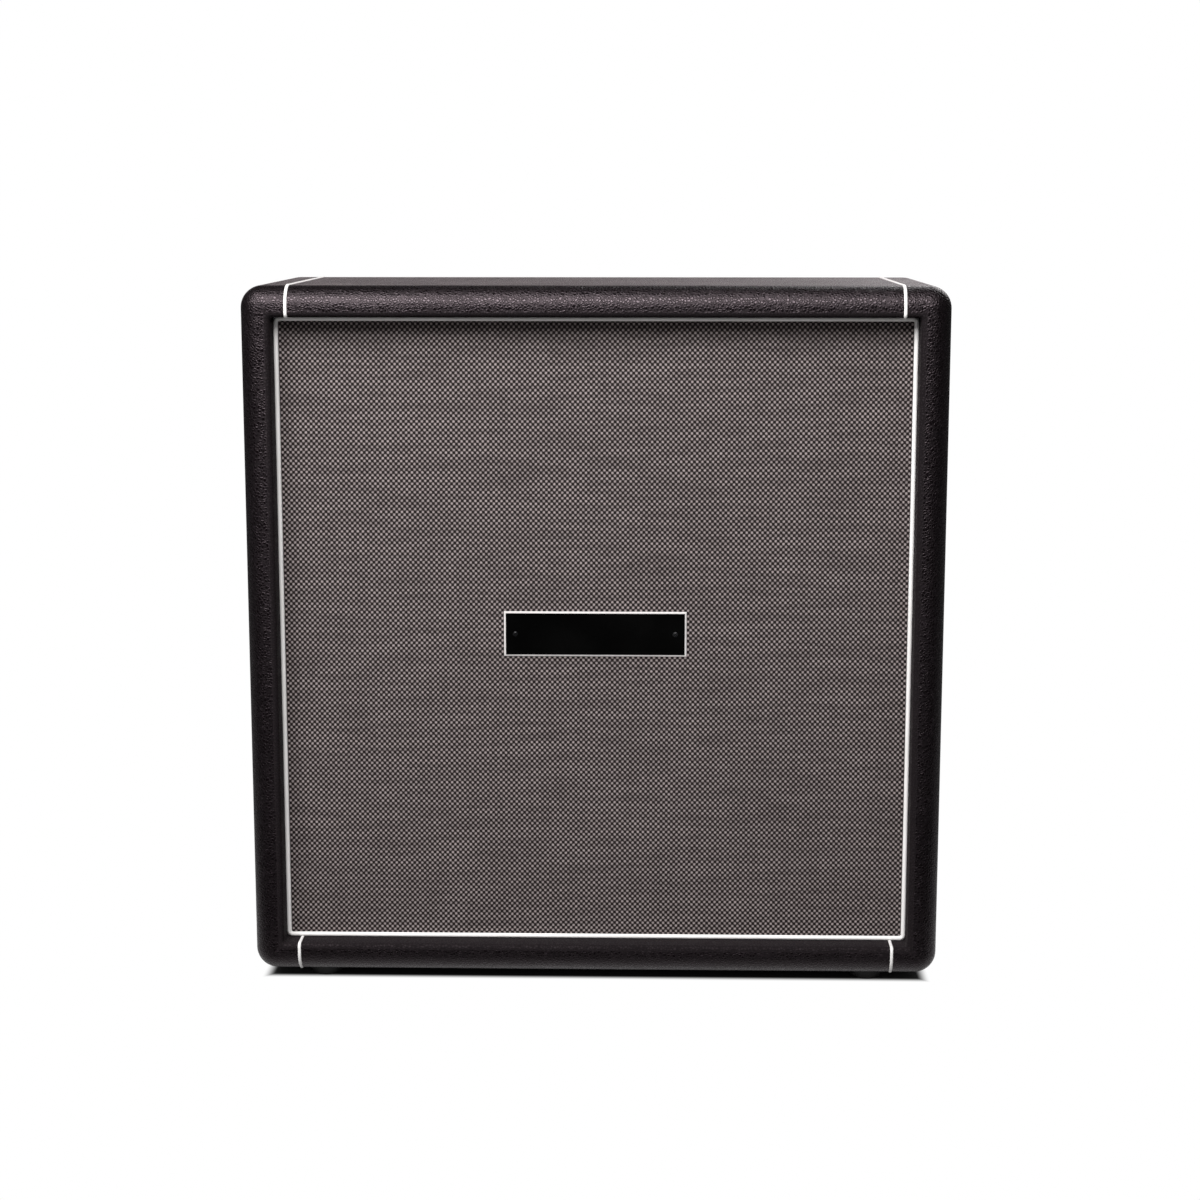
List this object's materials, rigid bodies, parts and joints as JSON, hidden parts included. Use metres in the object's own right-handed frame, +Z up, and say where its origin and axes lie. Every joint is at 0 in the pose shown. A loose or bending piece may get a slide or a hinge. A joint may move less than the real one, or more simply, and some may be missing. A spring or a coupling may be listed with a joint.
{
  "type": "guitar speaker cabinet",
  "caption": "Closed-back guitar speaker cabinet: a vinyl-covered wooden box with a recessed woven grille, white piping, blank name plate, side handles and rear jacks.",
  "frame": {"origin": "on the floor under the middle of the cabinet: centre of the footprint, bottom of the feet", "axes": "+Z up, the grille faces -Y, +X to the right as seen from the front"},
  "size_m": [0.7694, 0.3074, 0.7752],
  "materials": {
    "birch_ply": "raw plywood",
    "black_vinyl": "grained vinyl leathercloth",
    "white_piping": "smooth white vinyl",
    "grille_weave": "light and dark checkered weave",
    "badge_white": "white core of a laminate",
    "badge_black": "polished black",
    "black_screw": "black oxide",
    "handle_black": "black powder coat",
    "handle_bar": "black powder coat",
    "grip_rubber": "matte",
    "jack_metal": "nickel plate",
    "zinc_screw": "bright zinc plate",
    "foot_rubber": "matte",
    "basket_paint": "grey enamel",
    "gasket_card": "cork and paper board",
    "motor_steel": "zinc plated iron",
    "magnet_ferrite": "sintered ferrite",
    "terminal_board": "paper laminate",
    "wire_cover": "flexible cover",
    "cone_paper": "pressed paper",
    "coil_metal": "lacquered copper",
    "surround_paper": "doped paper",
    "spider_cloth": "resin-dipped cloth"
  },
  "bodies": {
    "cabinet": {"back_panel": "birch_ply", "back_panel_screws": "zinc_screw", "back_panel_vinyl": "black_vinyl", "badge_base": "badge_white", "badge_face": "badge_black", "badge_screws": "black_screw", "baffle_board": "birch_ply", "baffle_screws": "zinc_screw", "bottom_panel": "birch_ply", "bottom_vinyl": "black_vinyl", "centre_brace": "birch_ply", "foot_screws": "zinc_screw", "front_lip_battens": "birch_ply", "grille_cloth": "grille_weave", "grille_piping": "white_piping", "handle_screws": "black_screw", "input_jack": "jack_metal", "jack_plate": "handle_black", "jack_plate_screws": "black_screw", "left_handle_dish": "handle_black", "left_panel": "birch_ply", "left_vinyl": "black_vinyl", "link_jack": "jack_metal", "rear_cleats": "birch_ply", "right_handle_dish": "handle_black", "right_panel": "birch_ply", "right_vinyl": "black_vinyl", "rubber_feet": "foot_rubber", "seam_piping": "white_piping", "speaker_baskets": "basket_paint", "speaker_bolts": "zinc_screw", "speaker_front_plates": "motor_steel", "speaker_gaskets": "gasket_card", "speaker_magnets": "magnet_ferrite", "speaker_terminals": "terminal_board", "speaker_wiring": "wire_cover", "speaker_yokes": "motor_steel", "spider_1": "spider_cloth", "spider_2": "spider_cloth", "spider_3": "spider_cloth", "spider_4": "spider_cloth", "surround_1": "surround_paper", "surround_2": "surround_paper", "surround_3": "surround_paper", "surround_4": "surround_paper", "top_panel": "birch_ply", "top_vinyl": "black_vinyl"},
    "driver_cone_1": {"cone_1": "cone_paper", "voice_coil_1": "coil_metal"},
    "driver_cone_2": {"cone_2": "cone_paper", "voice_coil_2": "coil_metal"},
    "driver_cone_3": {"cone_3": "cone_paper", "voice_coil_3": "coil_metal"},
    "driver_cone_4": {"cone_4": "cone_paper", "voice_coil_4": "coil_metal"},
    "left_bail": {"left_handle_bail": "handle_bar", "left_handle_grip": "grip_rubber"},
    "right_bail": {"right_handle_bail": "handle_bar", "right_handle_grip": "grip_rubber"}
  },
  "joints": [
    {"name": "cone_1_travel", "type": "slide", "parent": "cabinet", "child": "driver_cone_1", "axis": [0, 1, 0], "range_m": [-0.003, 0.003], "stiffness_N_per_m": 4500, "deforming": ["surround_1", "spider_1"]},
    {"name": "cone_2_travel", "type": "slide", "parent": "cabinet", "child": "driver_cone_2", "axis": [0, 1, 0], "range_m": [-0.003, 0.003], "stiffness_N_per_m": 4500, "deforming": ["surround_2", "spider_2"]},
    {"name": "cone_3_travel", "type": "slide", "parent": "cabinet", "child": "driver_cone_3", "axis": [0, 1, 0], "range_m": [-0.003, 0.003], "stiffness_N_per_m": 4500, "deforming": ["surround_3", "spider_3"]},
    {"name": "cone_4_travel", "type": "slide", "parent": "cabinet", "child": "driver_cone_4", "axis": [0, 1, 0], "range_m": [-0.003, 0.003], "stiffness_N_per_m": 4500, "deforming": ["surround_4", "spider_4"]},
    {"name": "left_bail_swing", "type": "hinge", "parent": "cabinet", "child": "left_bail", "pos_m": [-0.3715, 0, 0.482], "axis": [0, 1, 0], "range_deg": [0, 90]},
    {"name": "right_bail_swing", "type": "hinge", "parent": "cabinet", "child": "right_bail", "pos_m": [0.3715, 0, 0.482], "axis": [0, -1, 0], "range_deg": [0, 90]}
  ]
}
